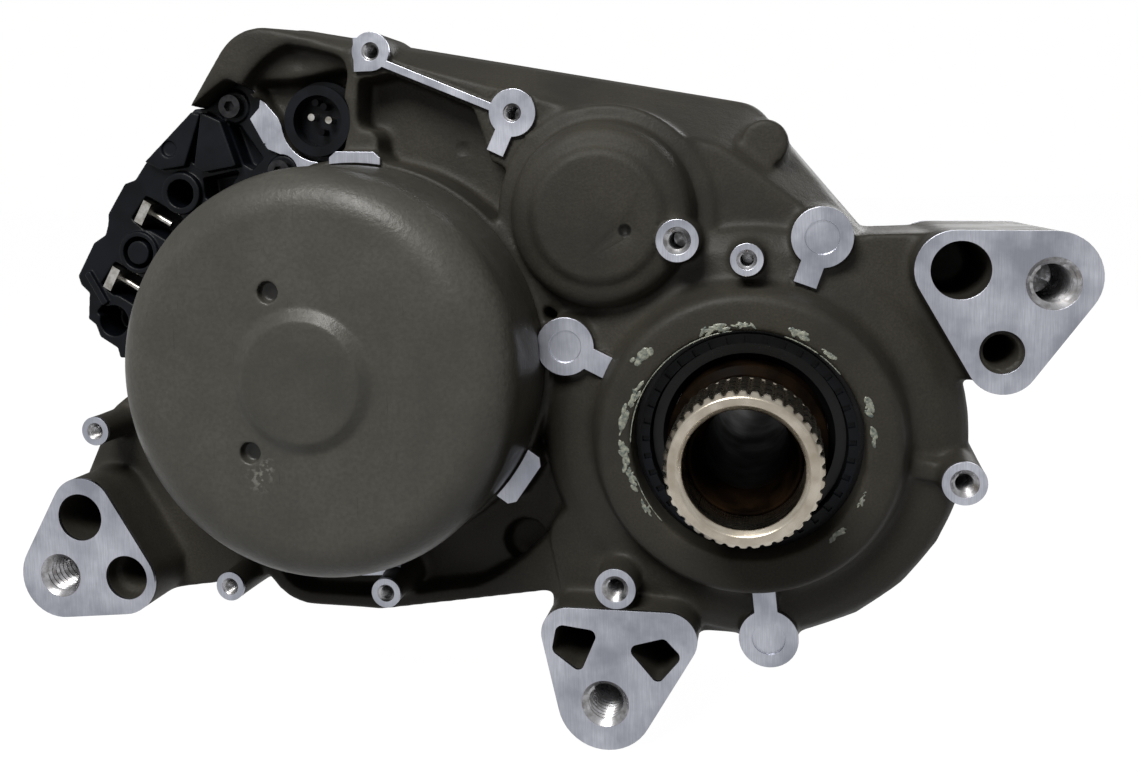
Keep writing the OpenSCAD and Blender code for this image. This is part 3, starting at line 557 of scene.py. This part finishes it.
def clear_bores(piece):
    """Pushes the bore walls of a casting back behind the thread liners."""
    places = points_of(piece)
    for x, z, way, radius, face, chamfer, _, depth in thread_bores():
        room = radius + chamfer + 0.2
        off = places[:, [0, 2]] - (x, z)
        far = np.maximum(np.hypot(off[:, 0], off[:, 1]), 0.01)
        deep = (places[:, 1] - face) * way
        inside = (far < room) & (deep > -0.3) & (deep < depth + 0.6)
        places[np.ix_(inside, [0, 2])] = (x, z) + off[inside] * (room / far[inside])[:, None]
    set_points(piece, places)


def thread_rings(radius, chamfer, pitch, depth):
    """Rings of (depth, radius) round a tapped hole: a chamfered mouth, then rows that follow the helix."""
    root = radius + 0.42 * pitch
    start = 0.9 * (radius + chamfer - root)
    end = depth - 0.5
    turns = range(-1, int((end - start) / pitch) + 1)
    rings = [[(-0.02, radius + chamfer)] * (THREAD_COLUMNS + 1), [(start, root)] * (THREAD_COLUMNS + 1)]
    for offset, crest in [((k + share) * pitch, crest) for k in turns for share, crest in THREAD_FORM]:
        ring = []
        for c in range(THREAD_COLUMNS + 1):
            deep = start + offset + pitch * c / THREAD_COLUMNS
            across = root - crest * (root - radius)
            ring.append((start, root) if deep < start else (end, radius) if deep > end else (deep, across))
        rings.append(ring)
    return rings + [[(end, radius)] * (THREAD_COLUMNS + 1), [(end, 0.0)] * (THREAD_COLUMNS + 1)]


def add_thread_liners():
    """Chamfered mouths and helical threads of the tapped holes."""
    shape = bmesh.new()
    for x, z, way, radius, face, chamfer, pitch, depth in thread_bores():
        last = None
        for ring in thread_rings(radius, chamfer, pitch, depth):
            row = []
            for c, (deep, across) in enumerate(ring):
                angle = 2 * math.pi * c / THREAD_COLUMNS
                out = Vector((math.cos(angle), 0, math.sin(angle))) * across
                row.append(shape.verts.new((Vector((x, face + way * deep, z)) + out) * MM))
            for c in range(THREAD_COLUMNS if last else 0):
                corners = (last[c], last[c + 1], row[c + 1], row[c])
                shape.faces.new(corners if way < 0 else corners[::-1])
            last = row
    bmesh.ops.remove_doubles(shape, verts=shape.verts, dist=0.002 * MM)
    bmesh.ops.dissolve_degenerate(shape, edges=shape.edges, dist=0.002 * MM)
    mesh = bpy.data.meshes.new("thread_liners")
    shape.to_mesh(mesh)
    shape.free()
    mesh.materials.append(LOOKS["bore_thread"])
    mesh.polygons.foreach_set("use_smooth", [True] * len(mesh.polygons))
    mesh.set_sharp_from_angle(angle=math.radians(30))
    add_piece("thread_liners", mesh, "housing")


# Smears of sealing grease on the crank boss: angle seen from the front, radius, length along the rim, width
GREASE = (
    (139, 25.6, 3.4, 1.4), (106, 22.7, 4.0, 0.7), (90, 22.5, 3.0, 0.5), (66, 23.0, 3.0, 0.8),
    (50, 22.8, 2.2, 0.6), (156, 22.8, 3.4, 0.7), (170, 23.4, 4.2, 0.9), (184, 23.0, 4.0, 1.0),
    (198, 22.6, 3.0, 0.8), (212, 22.6, 2.4, 0.5), (20, 23.2, 3.0, 0.8), (6, 22.9, 2.6, 0.6),
    (-25, 22.8, 2.2, 0.5), (-45, 22.8, 3.0, 0.6),
)
BOSS_FRONT = -36.0
RIM_RADIUS = 21.65
RIM_GREASE_AND_HIGHLIGHT_DABS = 420
DABS_PER_SMEAR = 14


def boss_place(radius, angle):
    """Move to a place on the front of the crank boss."""
    return Matrix.Translation(Vector((radius * math.cos(angle), BOSS_FRONT, radius * math.sin(angle))) * MM)


def add_grease():
    """Smears round the shaft seal, and fine pale dabs along the upper side of the seal's rim, partly grease
    and partly a painted highlight on the seal's wet edge.
    """
    shape = bmesh.new()
    chance = random.Random(7)
    for angle, radius, length, width in GREASE:
        for _ in range(DABS_PER_SMEAR):
            along = math.radians(angle) + chance.gauss(0, 0.3) * length / radius
            r = radius + chance.gauss(0, 0.3) * width
            size = chance.uniform(0.2, 0.6)
            turn = Matrix.Rotation(chance.gauss(-along, 0.4), 4, "Y")
            place = boss_place(r, along)
            shrink = Matrix.Diagonal((width * size * MM, 0.22 * size * MM, length * 0.6 * size * MM, 1))
            bmesh.ops.create_icosphere(shape, subdivisions=2, radius=1.0, matrix=place @ turn @ shrink)
    # Pale dabs on the upper side of the rim only: partly real grease, partly a painted highlight along the
    # seal's wet edge.
    for _ in range(RIM_GREASE_AND_HIGHLIGHT_DABS):
        along = math.radians(chance.uniform(40, 225))
        if math.sin(3 * along) + math.sin(7 * along + 1) < -0.6:
            continue
        size = chance.uniform(0.2, 0.45)
        place = boss_place(RIM_RADIUS, along)
        shrink = Matrix.Diagonal((0.3 * size * MM, 0.2 * size * MM, 1.6 * size * MM, 1))
        turn = Matrix.Rotation(-along, 4, "Y")
        bmesh.ops.create_icosphere(shape, subdivisions=2, radius=1.0, matrix=place @ turn @ shrink)
    mesh = bpy.data.meshes.new("grease_and_rim_highlight")
    shape.to_mesh(mesh)
    shape.free()
    mesh.materials.append(LOOKS["grease"])
    mesh.polygons.foreach_set("use_smooth", [True] * len(mesh.polygons))
    add_piece("grease_and_rim_highlight", mesh, "housing")


# Stage and light

def add_stage():
    """White floor that takes the object's shadow."""
    low, high = cad_box
    mesh = bpy.data.meshes.new("floor")
    half = 6.0
    level = low[2] - 0.0002
    mesh.from_pydata([(-half, -half, level), (half, -half, level), (half, half, level), (-half, half, level)],
                     [], [(0, 1, 2, 3)])
    floor = bpy.data.objects.new("floor", mesh)
    scene.collection.objects.link(floor)
    look = Look("floor", srgb(240, 240, 240), 0.9, specular=0.0)
    glow = look.node("ShaderNodeEmission")
    glow.inputs["Color"].default_value = (1, 1, 1, 1)
    path = look.node("ShaderNodeLightPath")
    blend = look.node("ShaderNodeMixShader")
    glow.inputs["Strength"].default_value = 1.1
    camera_share = look.ramp(path.outputs["Is Camera Ray"], 0, 0.9, 0, 1)
    glossy_share = look.ramp(path.outputs["Is Glossy Ray"], 0, 0.7, 0, 1)
    share = look.node("ShaderNodeMath", operation="MAXIMUM")
    look.link(camera_share, share.inputs[0])
    look.link(glossy_share, share.inputs[1])
    look.link(share.outputs["Value"], blend.inputs[0])
    look.colour(look.mix(path.outputs["Is Camera Ray"], srgb(70, 70, 70), srgb(250, 250, 250)))
    look.link(look.shader.outputs[0], blend.inputs[1])
    look.link(glow.outputs[0], blend.inputs[2])
    look.link(blend.outputs[0], look.tree.nodes["Material Output"].inputs["Surface"])
    mesh.materials.append(look.material)


def sky_strength(tree, axis, low, high, ground, top):
    """Strength that goes from ground to top between two levels of the view direction along an axis."""
    place = tree.nodes.new("ShaderNodeTexCoord")
    split = tree.nodes.new("ShaderNodeSeparateXYZ")
    height = tree.nodes.new("ShaderNodeMapRange")
    height.interpolation_type = "SMOOTHSTEP"
    for name, value in (("From Min", low), ("From Max", high), ("To Min", ground), ("To Max", top)):
        height.inputs[name].default_value = value
    tree.links.new(place.outputs["Generated"], split.inputs[0])
    tree.links.new(split.outputs[axis], height.inputs["Value"])
    return height.outputs["Result"]


def add_world():
    """White behind the object, a bright front for reflections, and a soft sky over a dark ground."""
    world = bpy.data.worlds.new("studio")
    world.use_nodes = True
    scene.world = world
    tree = world.node_tree
    path = tree.nodes.new("ShaderNodeLightPath")
    shown = tree.nodes["Background"]
    tree.links.new(sky_strength(tree, "Z", -0.5, 0.9, 0.003, 0.07), shown.inputs["Strength"])
    shown = shown.outputs[0]
    gloss = tree.nodes.new("ShaderNodeMath")
    gloss.operation = "MULTIPLY"
    tree.links.new(sky_strength(tree, "Z", -0.9, 0.1, 0.2, 0.64), gloss.inputs[0])
    tree.links.new(sky_strength(tree, "Y", -0.3, 0.5, 1.0, 0.3), gloss.inputs[1])
    for ray, strength in (("Is Glossy Ray", gloss.outputs["Value"]), ("Is Camera Ray", None)):
        other = tree.nodes.new("ShaderNodeBackground")
        other.inputs["Color"].default_value = (1, 1, 1, 1)
        if strength:
            tree.links.new(strength, other.inputs["Strength"])
        blend = tree.nodes.new("ShaderNodeMixShader")
        tree.links.new(path.outputs[ray], blend.inputs[0])
        tree.links.new(shown, blend.inputs[1])
        tree.links.new(other.outputs[0], blend.inputs[2])
        shown = blend.outputs[0]
    tree.links.new(shown, tree.nodes["World Output"].inputs["Surface"])
    tree.nodes["Background"].inputs["Color"].default_value = (0.94, 0.97, 1.0, 1)


def add_lamp(name, place, target, size, watts, colour=(1, 1, 1)):
    data = bpy.data.lights.new(name, "AREA")
    data.shape = "DISK"
    data.size = size
    data.energy = watts
    data.color = colour
    lamp = bpy.data.objects.new(name, data)
    lamp.location = place
    aim = Vector(target) - Vector(place)
    lamp.rotation_euler = aim.to_track_quat("-Z", "Y").to_euler()
    scene.collection.objects.link(lamp)


def add_lamps():
    centre = (-0.04, -0.01, 0.01)
    add_lamp("key", (-0.14, -0.46, 0.46), centre, 0.28, 3.3, (1.0, 0.99, 0.96))
    add_lamp("back", (0.25, 0.6, 0.3), centre, 0.4, 1.6)


def dress_housing():
    """Main housing: bright cut faces over a rounded casting that keeps its small marks."""
    skin = machined_skin("machined_faces", "main_housing", is_cut, SKIN_DEPTH, SKIN_PROUD, SKIN_BEVEL)
    housing = voxel_copy("main_housing", "cast_housing", "cast_metal", 0.5)
    shares = edge_shares(housing, skin, EDGE_SHARE, EDGE_REACH)
    covered = shares < COVERED_SHARE
    relax(housing, 14, keep_crisp(housing, shares))
    soften(housing, HOOD, 20)
    sink(housing, covered, SINK_DEPTH)
    thin_out(housing, 0.2)
    clear_bores(housing)


def rounded_copy(node, name, slot, voxel, passes, keep, body="housing"):
    """Copy of a node with moulded edges, in place of the node."""
    piece = voxel_copy(node, name, slot, voxel, body)
    relax(piece, passes, 1)
    thin_out(piece, keep)
    return piece


add_camera()
dress_nodes()
dress_housing()
rounded_copy("rear_housing", "cast_rear_housing", "cast_metal", 0.7, 8, 0.3)
rounded_copy("motor_cap", "cast_motor_cap", "cap_metal", 0.36, 2, 0.4)
rounded_copy("battery_connector", "moulded_connector", "black_plastic", 0.22, 4, 0.25)
sleeve = rounded_copy("output_sleeve", "plated_sleeve", "nickel_steel", 0.2, 4, 0.15, "output")
# The sleeve's land behind the spline teeth is painted near black.
darken_behind(sleeve, SPLINE_BACK)
add_thread_liners()
add_grease()
add_stage()
add_world()
add_lamps()
